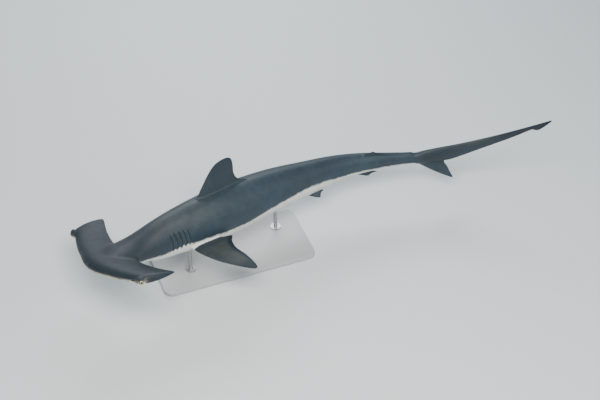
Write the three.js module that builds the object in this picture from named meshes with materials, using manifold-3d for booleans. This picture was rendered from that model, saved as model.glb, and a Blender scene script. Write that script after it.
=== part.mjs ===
// A smooth hammerhead shark in mid turn, as a still, life-size display model on a plain stand.
// Millimetres, +Z up. The head points towards -X and the tail towards +X.
// The origin is the centre of the stand's underside, on the floor.
//
// The animal is first laid out straight, in body coordinates: "along" runs from the snout to the
// tail, "left" to the animal's left and "up" to its back. bend() then takes each point to the pose.
import * as THREE from 'three';
import Module from 'manifold-3d';

const wasm = await Module();
wasm.setup();

const DEGREE = Math.PI / 180;
const GAP = 0.3;

// The pose: heading, slope and bank of the spine, in degrees, and how each eases along the body.
const SNOUT = [-735, -190, 350];
const HEADING = {
  start: 14.7,
  eases: [[60, 330, 0.7], [330, 800, 0.2], [800, 1250, -7.2], [1250, 1650, -19.5], [1650, 2000, -15.6]],
};
const SLOPE = { start: -3.3, eases: [[330, 800, -0.7], [800, 1250, 1], [1250, 2000, 3]] };
const BANK = { start: 16.8, eases: [[60, 330, -3.5], [330, 800, -7.1], [1250, 2000, -5.8]] };
const SPINE_STEP = 5;
const SPINE_END = 2600;

// The trunk: half width, height of the back and depth of the belly at places along the body.
const TRUNK_START = 15;
const STALK_END = 1810;
const TRUNK_SIDES = 28;
const TRUNK_STEP = 36;
const HALF_WIDTH = [[15, 30], [60, 78], [120, 96], [170, 96], [215, 90], [265, 85], [330, 84], [420, 86],
  [560, 95], [760, 103], [1000, 92], [1200, 74], [1400, 53], [1600, 35], [1740, 24], [1810, 22]];
const BACK = [[15, 14], [60, 34], [120, 44], [170, 48], [215, 54], [265, 66], [330, 84], [420, 103],
  [560, 120], [760, 129], [1000, 114], [1200, 90], [1400, 69], [1600, 49], [1740, 37], [1790, 36],
  [1810, 32]];
const BELLY = [[15, 0], [60, 12], [120, 26], [170, 38], [215, 53], [265, 73], [330, 95], [420, 111],
  [560, 125], [760, 136], [1000, 119], [1200, 96], [1400, 71], [1600, 49], [1740, 36], [1810, 34]];
const BELLY_FULLNESS = 0.9;

// The lengths that the trunk is parted into.
const HEAD_END = 330;
const GILLS_END = 497;
const TRUNK_END = 1000;
const ABDOMEN_END = 1430;
const BLOCK_HALF_WIDTH = 520;
const BLOCK_HALF_HEIGHT = 420;
const BLOCK_RINGS = 7;

// The head's wing: margins in plan at distances from the midline, and half thickness.
// WING_LIFT is how far its tips rise above its middle.
const WING_REACH = 343;
const WING_STATIONS = 19;
const WING_SIDES = 22;
const WING_FRONT = [[0, -13], [60, -6], [120, 12], [180, 29], [240, 51], [275, 66], [290, 72],
  [305, 73], [318, 77], [330, 91], [339, 119], [343, 153]];
const WING_REAR = [[0, 214], [60, 209], [110, 197], [160, 199], [220, 213], [262, 228], [295, 242],
  [318, 251], [332, 251], [340, 233], [343, 191]];
const WING_RAISE = 1;
const WING_LIFT = 25;
const WING_PITCH_DEG = -2.7;
const WING_PITCH_ALONG = 90;
const WING_TOP = [[0, 34], [100, 32], [200, 27], [290, 23], [322, 20], [338, 13], [343, 5]];
const WING_BOTTOM = [[0, 30], [100, 28], [200, 24], [290, 21], [322, 18], [338, 12], [343, 5]];
const WING_EDGE = 3;

// Eyes, in rounded brows at the front outer corners of the wing.
const EYE_RADIUS = 16;
const EYE_ALONG = 87;
const EYE_OUT = 327;
const EYE_FORWARD_DEG = 20;
const LID_FORWARD = 7;
const LID_RADIUS = 15.2;
const LID_THICKNESS = 3;
const BROW_RADIUS = 23;
const BROW_BACK = 11;
const BROW_STRETCH = [1.1, 1, 0.84];
const BALL_LEVELS = 10;
const BALL_SIDES = 16;

// Mouth: an arch beneath the head, a line between two lips.
const MOUTH_HALF_WIDTH = 74;
const MOUTH_FRONT = 98;
const MOUTH_DEPTH = 58;
const LIP_RADIUS = 6.5;
const LIP_SINK = 3.5;
const MOUTH_LINE_RADIUS = 2;
const MOUTH_POINTS = 25;

// Nostrils near the ends of the front margin, each with a groove that runs inwards.
const NOSTRIL_INNER = 262;
const NOSTRIL_OUTER = 304;
const NOSTRIL_RADIUS = 5;
const GROOVE_INNER = 150;
const GROOVE_RADIUS = 2.4;
const NOSTRIL_DROP = 5;
const NOSTRIL_POINTS = 7;
const GROOVE_POINTS = 12;

// Gills: five slits a side, each behind its own raised flap.
const GILL_SLITS = [392, 416, 440, 463, 484];
const GILL_FLAP = 20;
const GILL_RAISE = 2.6;
const GILL_TOP = 40;
const GILL_BOTTOM = -36;
const GILL_LEAN = -0.12;
const GILL_STEP = 1.2;
const GILL_WIDTH = 2.6;
const GILL_DEPTH = 8;
const GILL_FADE = 14;
const GILL_SLANT_FADE = 30;
const GILL_RINGS = 7;

// Fins: edges as [distance out, distance along] from the front of the root, and half thickness.
// The rows lie ROW_SPREAD times as far apart at the root as they would if evenly spaced.
const ROW_SPREAD = 1.35;
const FIRST_DORSAL = {
  origin: 589, base: 112, reach: 181, sink: 34, rows: 12, chords: 10,
  thickness: 9, tipThickness: 1.6,
  lead: [[-34, -30], [0, -2], [22, 9], [90, 51], [131, 79], [157, 102], [171, 123], [178, 144],
    [181, 164]],
  trail: [[-34, 226], [0, 238], [8, 278], [14, 286], [24, 262], [40, 235], [80, 215], [119, 213],
    [148, 209], [165, 203], [176, 192], [181, 178]],
};
const SECOND_DORSAL = {
  origin: 1515, base: 50, rollDeg: 14, reach: 28, sink: 18, rows: 7, chords: 8,
  thickness: 3.6, tipThickness: 1,
  lead: [[-18, -20], [0, 0], [12, 22], [22, 42], [28, 60]],
  trail: [[-18, 82], [0, 88], [3, 124], [6, 136], [10, 112], [16, 88], [23, 77], [28, 70]],
};
const ANAL = {
  origin: 1490, base: 56, reach: 32, sink: 18, rows: 7, chords: 8,
  thickness: 3.6, tipThickness: 1,
  lead: [[-18, -20], [0, 0], [16, 28], [25, 52], [32, 70]],
  trail: [[-18, 80], [0, 86], [5, 112], [10, 128], [14, 110], [18, 96], [26, 86], [32, 80]],
};
const PECTORAL = {
  origin: 506, out: 84, drop: 73, reach: 272, sink: 56, rows: 13, chords: 10,
  thickness: 9, tipThickness: 1.4, droopDeg: { left: 8, right: 19 }, pitchDeg: -2.6, sag: 10,
  lead: [[-56, -4], [0, -12], [60, -1], [150, 42], [230, 110], [262, 146], [272, 163]],
  trail: [[-56, 118], [0, 139], [16, 154], [30, 194], [42, 193], [60, 177], [110, 166], [180, 181],
    [240, 184], [264, 181], [272, 175]],
};
const PELVIC = {
  origin: 1173, out: 30, drop: 74, reach: 40, sink: 34, rows: 8, chords: 8,
  thickness: 4.6, tipThickness: 1.1, droopDeg: { left: 40, right: 40 }, pitchDeg: 0, sag: 2,
  lead: [[-34, -10], [0, 12], [15, 36], [29, 62], [40, 88]],
  trail: [[-34, 84], [0, 104], [8, 122], [12, 130], [17, 113], [27, 103], [40, 97]],
};

// The tail fin, seen from the side: edges as [along, up], and half thickness.
const TAIL_TIP = 2464;
const TAIL_TOP = [[1810, 32], [1850, 46], [1920, 68], [2035, 107], [2200, 172], [2330, 229], [2420, 271],
  [2464, 292]];
const TAIL_BOTTOM = [[1810, -34], [1860, -35], [1960, -12], [2000, 3], [2100, 60], [2270, 158], [2350, 208],
  [2376, 224], [2392, 221], [2412, 227], [2440, 254], [2464, 282]];
const TAIL_THICKNESS = [[1810, 22], [1870, 18], [1960, 13], [2100, 8.5], [2300, 4.5], [2464, 1.6]];
const TAIL_STEP = 27;
const TAIL_CHORDS = 10;
const TAIL_EDGE = 0.6;
const TAIL_THIN_AFTER = 150;
const LOWER_LOBE = {
  origin: 1820, base: 27, reach: 96, sink: 34, rows: 9, chords: 9,
  thickness: 6, tipThickness: 1.2,
  lead: [[-34, -12], [0, -6], [28, 35], [57, 84], [82, 138], [92, 164], [96, 176]],
  trail: [[-34, 128], [0, 139], [23, 154], [50, 166], [76, 179], [90, 187], [96, 186]],
};

// The stand: a flat base with rounded corners and two rods up to the belly.
const BASE_LENGTH = 780;
const BASE_WIDTH = 360;
const BASE_THICKNESS = 22;
const BASE_CORNER = 40;
const BASE_BEVEL = 2;
const ROD_RADIUS = 9;
const ROD_SIDES = 24;
const FLANGE_RADIUS = 26;
const FLANGE_HEIGHT = 5;
const ROD_FRONT_ALONG = 530;
const ROD_REAR_ALONG = 1040;

// Small helpers.
const smooth = THREE.MathUtils.smoothstep;
const mix = THREE.MathUtils.lerp;
const point = (along, left, up) => new THREE.Vector3(along, left, up);
const range = (count) => Array.from({ length: count }, (_, i) => i);

// A smooth value through [place, value] pairs, with each slope taken between the neighbours.
function through(pairs) {
  const last = pairs.length - 1;
  const slopes = pairs.map((_, i) => {
    const before = pairs[Math.max(i - 1, 0)];
    const after = pairs[Math.min(i + 1, last)];
    return (after[1] - before[1]) / (after[0] - before[0]);
  });
  return (place) => {
    if (place <= pairs[0][0]) return pairs[0][1];
    if (place >= pairs[last][0]) return pairs[last][1];
    const i = pairs.findIndex((pair) => pair[0] > place) - 1;
    const span = pairs[i + 1][0] - pairs[i][0];
    const t = (place - pairs[i][0]) / span;
    const rise = t * t * (3 - 2 * t);
    const leave = t * (1 - t) * (1 - t) * span * slopes[i];
    const arrive = t * t * (t - 1) * span * slopes[i + 1];
    return mix(pairs[i][1], pairs[i + 1][1], rise) + leave + arrive;
  };
}

// The spine's frames, one every SPINE_STEP along it.
const eased = (course, along) =>
  course.eases.reduce((sum, [from, to, by]) => sum + by * smooth(along, from, to), course.start) * DEGREE;

function spineFrames() {
  const frames = [];
  const centre = new THREE.Vector3(...SNOUT);
  let before = null;
  for (let along = 0; along <= SPINE_END; along += SPINE_STEP) {
    const heading = eased(HEADING, along);
    const slope = eased(SLOPE, along);
    const bank = eased(BANK, along);
    const level = new THREE.Vector3(Math.sin(heading), -Math.cos(heading), 0);
    const tailward = new THREE.Vector3(Math.cos(heading), Math.sin(heading), 0);
    tailward.multiplyScalar(Math.cos(slope)).setZ(Math.sin(slope));
    const upright = tailward.clone().negate().cross(level);
    if (before) centre.addScaledVector(before.clone().add(tailward), SPINE_STEP / 2);
    before = tailward;
    frames.push({
      centre: centre.clone(),
      tailward,
      left: level.clone().multiplyScalar(Math.cos(bank)).addScaledVector(upright, Math.sin(bank)),
      up: upright.clone().multiplyScalar(Math.cos(bank)).addScaledVector(level, -Math.sin(bank)),
    });
  }
  return frames;
}
const SPINE = spineFrames();

// Takes a point from body coordinates to its place in the pose.
function bend(p) {
  const inside = THREE.MathUtils.clamp(p.x, 0, SPINE_END - SPINE_STEP);
  const i = Math.floor(inside / SPINE_STEP);
  const t = inside / SPINE_STEP - i;
  const [from, to] = [SPINE[i], SPINE[i + 1]];
  const place = from.centre.clone().lerp(to.centre, t);
  place.addScaledVector(from.tailward, p.x - inside);
  place.addScaledVector(from.left.clone().lerp(to.left, t), p.y);
  return place.addScaledVector(from.up.clone().lerp(to.up, t), p.z);
}

// A closed solid from points and triangles, turned so that its faces point out.
function solid(points, triangles) {
  let volume = 0;
  for (const [a, b, c] of triangles) volume += points[a].dot(points[b].clone().cross(points[c]));
  const outward = volume > 0 ? triangles : triangles.map(([a, b, c]) => [a, c, b]);
  const vertProperties = new Float32Array(points.flatMap((p) => [p.x, p.y, p.z]));
  const triVerts = new Uint32Array(outward.flat());
  return new wasm.Manifold(new wasm.Mesh({ numProp: 3, vertProperties, triVerts }));
}

// Rings of equal count, joined side by side and closed at both ends by a fan to the ring's middle.
function loft(rings) {
  const sides = rings[0].length;
  const points = rings.flat();
  const triangles = [];
  for (let i = 0; i + 1 < rings.length; i += 1) {
    for (let j = 0; j < sides; j += 1) {
      const next = (j + 1) % sides;
      const [a, b] = [i * sides + j, i * sides + next];
      const [c, d] = [b + sides, a + sides];
      triangles.push([a, b, c], [a, c, d]);
    }
  }
  const ends = [[rings[0], 0, true], [rings.at(-1), (rings.length - 1) * sides, false]];
  for (const [ring, first, flip] of ends) {
    const middle = points.length;
    points.push(ring.reduce((sum, p) => sum.add(p), new THREE.Vector3()).divideScalar(sides));
    for (let j = 0; j < sides; j += 1) {
      const [a, b] = [first + j, first + ((j + 1) % sides)];
      triangles.push(flip ? [middle, b, a] : [middle, a, b]);
    }
  }
  return solid(points, triangles);
}

const bentLoft = (rings) => loft(rings.map((ring) => ring.map(bend)));

// A round bar along points in body coordinates, with its own radius at each.
function bar(path, radii, sides = 8) {
  const rings = path.map((p, i) => {
    const [before, after] = [path[Math.max(i - 1, 0)], path[Math.min(i + 1, path.length - 1)]];
    const ahead = after.clone().sub(before).normalize();
    const across = new THREE.Vector3(0, 0, 1).cross(ahead).normalize();
    const over = ahead.clone().cross(across);
    return range(sides).map((j) => {
      const angle = (2 * Math.PI * j) / sides;
      const spot = p.clone().addScaledVector(across, radii[i] * Math.cos(angle));
      return spot.addScaledVector(over, radii[i] * Math.sin(angle));
    });
  });
  return bentLoft(rings);
}

// The largest closed surface of a solid, without scraps or sealed hollows.
function largest(whole) {
  return whole.decompose().reduce((best, piece) => (piece.volume() > best.volume() ? piece : best));
}

// The trunk's surface.
const halfWidth = through(HALF_WIDTH);
const backHeight = through(BACK);
const bellyDepth = through(BELLY);

// How far the gill flaps raise the flank.
function gillRaise(station, up) {
  const above = smooth(up, GILL_BOTTOM - GILL_FADE, GILL_BOTTOM);
  const below = 1 - smooth(up, GILL_TOP, GILL_TOP + GILL_FADE);
  const slit = GILL_SLITS.find((at) => station <= at && station > at - GILL_FLAP);
  return slit === undefined ? 0 : GILL_RAISE * above * below * (1 - (slit - station) / GILL_FLAP);
}

function trunkPoint(station, angle, grow) {
  const up = Math.sin(angle);
  const power = up > 0 ? 1 : BELLY_FULLNESS;
  const height = (up > 0 ? backHeight(station) : bellyDepth(station)) + grow;
  const lift = Math.sign(up) * height * Math.abs(up) ** power;
  const begun = smooth(station, HEAD_END, GILL_SLITS[0]);
  const left = 1 - smooth(station, GILL_SLITS.at(-1), GILLS_END + GILL_SLANT_FADE);
  const along = station + GILL_LEAN * lift * begun * left;
  const side = Math.cos(angle) * (halfWidth(station) + grow + gillRaise(station, lift));
  return point(along, side, lift);
}

function trunkStations() {
  const stations = [TRUNK_START];
  const firstGill = GILL_SLITS[0] - GILL_FLAP;
  for (let along = TRUNK_START + TRUNK_STEP; along < STALK_END; along += TRUNK_STEP) stations.push(along);
  const plain = stations.filter((along) => along < firstGill - 5 || along > GILL_SLITS.at(-1) + 8);
  const gills = GILL_SLITS.flatMap((at) => [at - GILL_FLAP / 2, at, at + GILL_STEP]);
  return [...plain, firstGill, ...gills, STALK_END].sort((a, b) => a - b);
}

function trunkSolid(grow) {
  return bentLoft(trunkStations().map((along) =>
    range(TRUNK_SIDES).map((j) => trunkPoint(along, (2 * Math.PI * j) / TRUNK_SIDES, grow))));
}

// The wing of the head: a thick front edge, fullest a third of the way back, and a thin rear edge.
const wingFront = through(WING_FRONT);
const wingRear = through(WING_REAR);
const wingTop = through(WING_TOP);
const wingBottom = through(WING_BOTTOM);

function wingShape(x) {
  return 10 * (0.2969 * Math.sqrt(x) - 0.126 * x - 0.3516 * x ** 2 + 0.2843 * x ** 3 - 0.1036 * x ** 4);
}

function wingMiddle(along, out) {
  const pitched = (along - WING_PITCH_ALONG) * Math.tan(WING_PITCH_DEG * DEGREE);
  return WING_RAISE + pitched + WING_LIFT * (out / WING_REACH) ** 2;
}

function wingPoint(left, angle) {
  const out = Math.abs(left);
  const x = (1 - Math.cos(angle)) / 2;
  const over = Math.sin(angle) >= 0;
  const thickness = (over ? wingTop(out) : wingBottom(out)) * wingShape(x);
  const edge = WING_EDGE * Math.sqrt(Math.abs(Math.sin(angle)));
  const along = mix(wingFront(out), wingRear(out), x);
  return point(along, left, wingMiddle(along, out) + (over ? 1 : -1) * (thickness + edge));
}

function wingSolid() {
  const rings = range(2 * WING_STATIONS + 1).map((k) => {
    const left = WING_REACH * Math.sin((Math.PI / 2) * (k / WING_STATIONS - 1));
    return range(WING_SIDES).map((j) => wingPoint(left, (2 * Math.PI * j) / WING_SIDES));
  });
  return bentLoft(rings);
}

// How low the head's underside lies at a place.
function underside(along, left) {
  const out = Math.abs(left);
  const x = (along - wingFront(out)) / (wingRear(out) - wingFront(out));
  const angle = Math.acos(THREE.MathUtils.clamp(1 - 2 * x, -1, 1));
  const wing = -wingPoint(left, -angle).z;
  const across = THREE.MathUtils.clamp(out / halfWidth(along), 0, 1);
  const trunk = bellyDepth(along) * (1 - across ** 2) ** (BELLY_FULLNESS / 2);
  return -Math.max(wing, trunk);
}

// The mouth's arch, as a path a given height below the surface.
function mouthPath(reach, drop) {
  return range(MOUTH_POINTS).map((i) => {
    const t = reach * ((2 * i) / (MOUTH_POINTS - 1) - 1);
    const [along, left] = [MOUTH_FRONT + MOUTH_DEPTH * t * t, MOUTH_HALF_WIDTH * t];
    return point(along, left, underside(along, left) - drop);
  });
}

// How far the i-th of a row of sizes narrows towards the row's ends.
const pinch = (i, count, least) => least + (1 - least) * Math.sin((Math.PI * i) / (count - 1)) ** 0.5;
const taperedRadii = (count, radius) => range(count).map((i) => radius * pinch(i, count, 0.25));

const mouthLips = () => bar(mouthPath(1.08, -LIP_SINK), taperedRadii(MOUTH_POINTS, LIP_RADIUS));
const mouthLine = () => bar(mouthPath(1, 0.4), taperedRadii(MOUTH_POINTS, MOUTH_LINE_RADIUS), 6);

// A nostril and its groove, in the front margin of one side.
function nostrilCuts(side) {
  const run = (from, to, count, back) => range(count).map((i) => {
    const out = mix(from, to, i / (count - 1));
    const along = wingFront(out) + back;
    return point(along, side * out, wingMiddle(along, out) - NOSTRIL_DROP);
  });
  const openingRadii = taperedRadii(NOSTRIL_POINTS, NOSTRIL_RADIUS);
  const opening = bar(run(NOSTRIL_INNER, NOSTRIL_OUTER, NOSTRIL_POINTS, 2), openingRadii);
  const grooveRadii = taperedRadii(GROOVE_POINTS, GROOVE_RADIUS);
  const groove = bar(run(GROOVE_INNER, NOSTRIL_INNER + 6, GROOVE_POINTS, 1), grooveRadii, 6);
  return opening.add(groove);
}

// Eyes, with the sockets, lids and brows around them.
const eyeCentre = (side) => point(EYE_ALONG, side * EYE_OUT, wingMiddle(EYE_ALONG, EYE_OUT));
const eyeTurn = EYE_FORWARD_DEG * DEGREE;
const eyeAxis = (side) => point(-Math.sin(eyeTurn), side * Math.cos(eyeTurn), 0);

function ball(centre, radius, stretch = point(1, 1, 1)) {
  const levels = range(BALL_LEVELS - 1).map((i) => Math.PI * ((i + 1) / BALL_LEVELS));
  const circles = levels.map((tilt) => range(BALL_SIDES).map((j) => {
    const turn = (2 * Math.PI * j) / BALL_SIDES;
    const spot = point(Math.sin(tilt) * Math.cos(turn), Math.sin(tilt) * Math.sin(turn), Math.cos(tilt));
    return spot.multiplyScalar(radius).multiply(stretch).add(centre);
  }));
  return bentLoft(circles);
}

function lidRing(side) {
  const axis = eyeAxis(side);
  const middle = eyeCentre(side).addScaledVector(axis, LID_FORWARD);
  const upright = point(0, 0, 1);
  const across = axis.clone().cross(upright);
  const sides = 6;
  const count = 20;
  const points = [];
  const triangles = [];
  for (let i = 0; i < count; i += 1) {
    const turn = (2 * Math.PI * i) / count;
    const radial = across.clone().multiplyScalar(Math.cos(turn)).addScaledVector(upright, Math.sin(turn));
    for (let j = 0; j < sides; j += 1) {
      const roll = (2 * Math.PI * j) / sides;
      const spot = middle.clone().addScaledVector(radial, LID_RADIUS + LID_THICKNESS * Math.cos(roll));
      points.push(bend(spot.addScaledVector(axis, LID_THICKNESS * Math.sin(roll))));
      const [a, b] = [i * sides + j, i * sides + ((j + 1) % sides)];
      const [c, d] = [((i + 1) % count) * sides + ((j + 1) % sides), ((i + 1) % count) * sides + j];
      triangles.push([a, b, c], [a, c, d]);
    }
  }
  return solid(points, triangles);
}

// One gill slit: a slot that slants forwards under its flap.
function gillSlot(at, side) {
  const rings = range(GILL_RINGS).map((i) => {
    const up = mix(GILL_BOTTOM, GILL_TOP, i / (GILL_RINGS - 1));
    const along = at + GILL_STEP / 2 + GILL_LEAN * up;
    const height = up > 0 ? backHeight(at) : bellyDepth(at);
    const surface = halfWidth(at) * Math.sqrt(1 - (up / height) ** 2);
    const depth = GILL_DEPTH * pinch(i, GILL_RINGS, 0.35);
    const width = GILL_WIDTH * pinch(i, GILL_RINGS, 0.35);
    return [
      point(along, side * (surface + 5), up),
      point(along + width, side * (surface + 5), up),
      point(along + width - depth / 2, side * (surface - depth), up),
      point(along - depth / 2, side * (surface - depth), up),
    ];
  });
  return bentLoft(rings);
}

// A flat fin as two like faces. place() takes chordwise, outward and sideways sizes to body coordinates.
function finSolid(fin, place) {
  const lead = through(fin.lead);
  const trail = through(fin.trail);
  const thickness = through([[-fin.sink, fin.thickness * 1.5], [0, fin.thickness * 1.25], [16, fin.thickness],
    [fin.reach, fin.tipThickness]]);
  const grid = range(fin.rows + 1).map((i) => {
    const t = i / fin.rows;
    const out = mix(-fin.sink, fin.reach, t * (ROW_SPREAD - (ROW_SPREAD - 1) * t));
    return range(fin.chords + 1).map((j) => {
      const x = (1 - Math.cos((Math.PI * j) / fin.chords)) / 2;
      const half = Math.max(thickness(out) * wingShape(x), 0.5);
      return { along: mix(lead(out), trail(out), x), out, half };
    });
  });
  return sheetSolid(grid, place);
}

// Two faces with like triangles over a grid of spots, joined round the rim.
function sheetSolid(grid, place) {
  const columns = grid[0].length;
  const count = grid.length * columns;
  const face = (sign) => grid.flat().map((spot) => bend(place(spot.along, spot.out, sign * spot.half)));
  const points = [...face(1), ...face(-1)];
  const triangles = [];
  for (let i = 0; i + 1 < grid.length; i += 1) {
    for (let j = 0; j + 1 < columns; j += 1) {
      const [a, b] = [i * columns + j, i * columns + j + 1];
      const [c, d] = [b + columns, a + columns];
      triangles.push([a, b, c], [a, c, d]);
      triangles.push([a + count, c + count, b + count], [a + count, d + count, c + count]);
    }
  }
  const rim = [
    ...range(columns).map((j) => j),
    ...range(grid.length - 1).map((i) => (i + 2) * columns - 1),
    ...range(columns - 1).map((j) => count - 2 - j),
    ...range(grid.length - 2).map((i) => (grid.length - 2 - i) * columns),
  ];
  rim.forEach((a, k) => {
    const b = rim[(k + 1) % rim.length];
    triangles.push([b, a, a + count], [b, a + count, b + count]);
  });
  return solid(points, triangles);
}

// Fins on the midline of the back, rolled to the left about the spine, and of the belly.
function dorsalPlace(fin) {
  const roll = (fin.rollDeg ?? 0) * DEGREE;
  return (x, out, half) => {
    const up = fin.base + out;
    const left = up * Math.sin(roll) + half * Math.cos(roll);
    return point(fin.origin + x, left, up * Math.cos(roll) - half * Math.sin(roll));
  };
}
const ventralPlace = (fin) => (x, out, half) => point(fin.origin + x, half, -fin.base - out);

function pairedPlace(fin, name, side) {
  const droop = fin.droopDeg[name] * DEGREE;
  const pitch = fin.pitchDeg * DEGREE;
  return (x, out, half) => {
    const sag = fin.sag * (Math.max(out, 0) / fin.reach) ** 2;
    const left = fin.out + out * Math.cos(droop) + half * Math.sin(droop);
    const up = half * Math.cos(droop) - fin.drop - out * Math.sin(droop) - x * Math.tan(pitch) - sag;
    return point(fin.origin + x, side * left, up);
  };
}

// The tail fin's upper lobe, thick along the spine inside it and thin at its lower edge.
function tailSolid() {
  const top = through(TAIL_TOP);
  const bottom = through(TAIL_BOTTOM);
  const thickness = through(TAIL_THICKNESS);
  const count = Math.ceil((TAIL_TIP - STALK_END) / TAIL_STEP);
  const grid = range(count + 1).map((i) => {
    const along = mix(STALK_END + GAP, TAIL_TIP, i / count);
    const thin = smooth(along, STALK_END, STALK_END + TAIL_THIN_AFTER);
    return range(TAIL_CHORDS + 1).map((j) => {
      const x = (1 - Math.cos((Math.PI * j) / TAIL_CHORDS)) / 2;
      const shape = mix(Math.sin(Math.acos(1 - 2 * x)), wingShape(x), thin);
      const half = Math.max(thickness(along) * shape, TAIL_EDGE);
      return { along, out: mix(top(along), bottom(along), x), half };
    });
  });
  return sheetSolid(grid, (along, up, half) => point(along, half, up));
}

// A block that holds all of the body between two places along it.
function lengthBlock(from, to) {
  const rings = range(BLOCK_RINGS).map((i) => {
    const along = mix(from, to, i / (BLOCK_RINGS - 1));
    return [[-1, -1], [1, -1], [1, 1], [-1, 1]].map(([left, up]) =>
      point(along, left * BLOCK_HALF_WIDTH, up * BLOCK_HALF_HEIGHT));
  });
  return bentLoft(rings);
}

// The stand.
function baseGeometry() {
  const [x, y, r] = [BASE_LENGTH / 2 - BASE_BEVEL, BASE_WIDTH / 2 - BASE_BEVEL, BASE_CORNER];
  const outline = new THREE.Shape();
  outline.absarc(x - r, y - r, r, 0, Math.PI / 2);
  outline.absarc(r - x, y - r, r, Math.PI / 2, Math.PI);
  outline.absarc(r - x, r - y, r, Math.PI, 1.5 * Math.PI);
  outline.absarc(x - r, r - y, r, 1.5 * Math.PI, 2 * Math.PI);
  const geometry = new THREE.ExtrudeGeometry(outline, {
    depth: BASE_THICKNESS - 2 * BASE_BEVEL,
    bevelSize: BASE_BEVEL,
    bevelThickness: BASE_BEVEL,
    bevelSegments: 1,
    curveSegments: 6,
  });
  return geometry.translate(0, 0, BASE_BEVEL);
}

function rodSolid(along, cut) {
  const foot = bend(point(along, 0, 0));
  const bottom = BASE_THICKNESS + GAP;
  const shoulder = bottom + FLANGE_HEIGHT;
  const flange = [[bottom, FLANGE_RADIUS], [shoulder, FLANGE_RADIUS]];
  const levels = [...flange, [shoulder, ROD_RADIUS], [foot.z, ROD_RADIUS]];
  const rings = levels.map(([z, radius]) => range(ROD_SIDES).map((j) => {
    const angle = (2 * Math.PI * j) / ROD_SIDES;
    return new THREE.Vector3(foot.x + radius * Math.cos(angle), foot.y + radius * Math.sin(angle), z);
  }));
  return largest(loft(rings).subtract(cut));
}

// Assembly.
const trunk = trunkSolid(0);
const trunkGrown = trunkSolid(GAP);
const eyeBalls = { left: ball(eyeCentre(1), EYE_RADIUS), right: ball(eyeCentre(-1), EYE_RADIUS) };

function headAndTrunk() {
  let whole = trunk.add(wingSolid()).add(mouthLips());
  for (const side of [1, -1]) {
    const browCentre = eyeCentre(side).addScaledVector(eyeAxis(side), -BROW_BACK);
    const brow = ball(browCentre, BROW_RADIUS, point(...BROW_STRETCH));
    whole = whole.add(brow).add(lidRing(side));
  }
  whole = whole.subtract(mouthLine());
  for (const side of [1, -1]) {
    whole = whole.subtract(nostrilCuts(side));
    whole = whole.subtract(ball(eyeCentre(side), EYE_RADIUS + GAP));
    for (const at of GILL_SLITS) whole = whole.subtract(gillSlot(at, side));
  }
  return whole;
}

const whole = headAndTrunk();
const length = (from, to) => largest(whole.intersect(lengthBlock(from, to)));
const fin = (shape, place) => largest(finSolid(shape, place).subtract(trunkGrown));
const upperLobe = tailSolid();
const lowerLobe = largest(finSolid(LOWER_LOBE, ventralPlace(LOWER_LOBE)).subtract(upperLobe));

const SKIN = { color: 0x46525c, roughness: 0.45 };
const FIN_SKIN = { color: 0x37424d, roughness: 0.45 };
const EYE_GLOSS = { color: 0x14171a, roughness: 0.08 };
const STAND_METAL = { color: 0x8f9194, roughness: 0.3, metalness: 0.9 };
const STAND_PAINT = { color: 0x9e9e99, roughness: 0.5 };

const group = new THREE.Group();

function addMesh(name, geometry, finish) {
  const mesh = new THREE.Mesh(geometry, new THREE.MeshStandardMaterial(finish));
  mesh.name = name;
  group.add(mesh);
}

function addSolid(name, body, finish) {
  const { vertProperties, triVerts } = body.getMesh();
  const geometry = new THREE.BufferGeometry();
  geometry.setAttribute('position', new THREE.BufferAttribute(vertProperties, 3));
  geometry.setIndex(new THREE.BufferAttribute(triVerts, 1));
  geometry.computeVertexNormals();
  addMesh(name, geometry, finish);
}

addSolid('head', length(-60, HEAD_END), SKIN);
addSolid('gill_region', length(HEAD_END + GAP, GILLS_END), SKIN);
addSolid('trunk', length(GILLS_END + GAP, TRUNK_END), SKIN);
addSolid('abdomen', length(TRUNK_END + GAP, ABDOMEN_END), SKIN);
addSolid('tail_stem', length(ABDOMEN_END + GAP, STALK_END), SKIN);
addSolid('caudal_fin_upper_lobe', upperLobe, FIN_SKIN);
addSolid('caudal_fin_lower_lobe', lowerLobe, FIN_SKIN);
addSolid('first_dorsal_fin', fin(FIRST_DORSAL, dorsalPlace(FIRST_DORSAL)), FIN_SKIN);
addSolid('second_dorsal_fin', fin(SECOND_DORSAL, dorsalPlace(SECOND_DORSAL)), FIN_SKIN);
addSolid('anal_fin', fin(ANAL, ventralPlace(ANAL)), FIN_SKIN);
for (const [name, side] of [['left', 1], ['right', -1]]) {
  addSolid(`pectoral_fin_${name}`, fin(PECTORAL, pairedPlace(PECTORAL, name, side)), FIN_SKIN);
  addSolid(`pelvic_fin_${name}`, fin(PELVIC, pairedPlace(PELVIC, name, side)), FIN_SKIN);
  addSolid(`eye_${name}`, eyeBalls[name], EYE_GLOSS);
}
addMesh('stand_base', baseGeometry(), STAND_PAINT);
addSolid('stand_rod_front', rodSolid(ROD_FRONT_ALONG, trunkGrown), STAND_METAL);
addSolid('stand_rod_rear', rodSolid(ROD_REAR_ALONG, trunkGrown), STAND_METAL);

export default group;
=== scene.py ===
"""A smooth hammerhead shark as a life-size display model: one skin, two eyes and a plain stand.

The skin is first made straight, in millimetres: "along" runs from the snout to the tail, "left" to the
animal's left and "up" to its back. bend() then takes each point to the pose, in metres.
"""
import math

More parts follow.
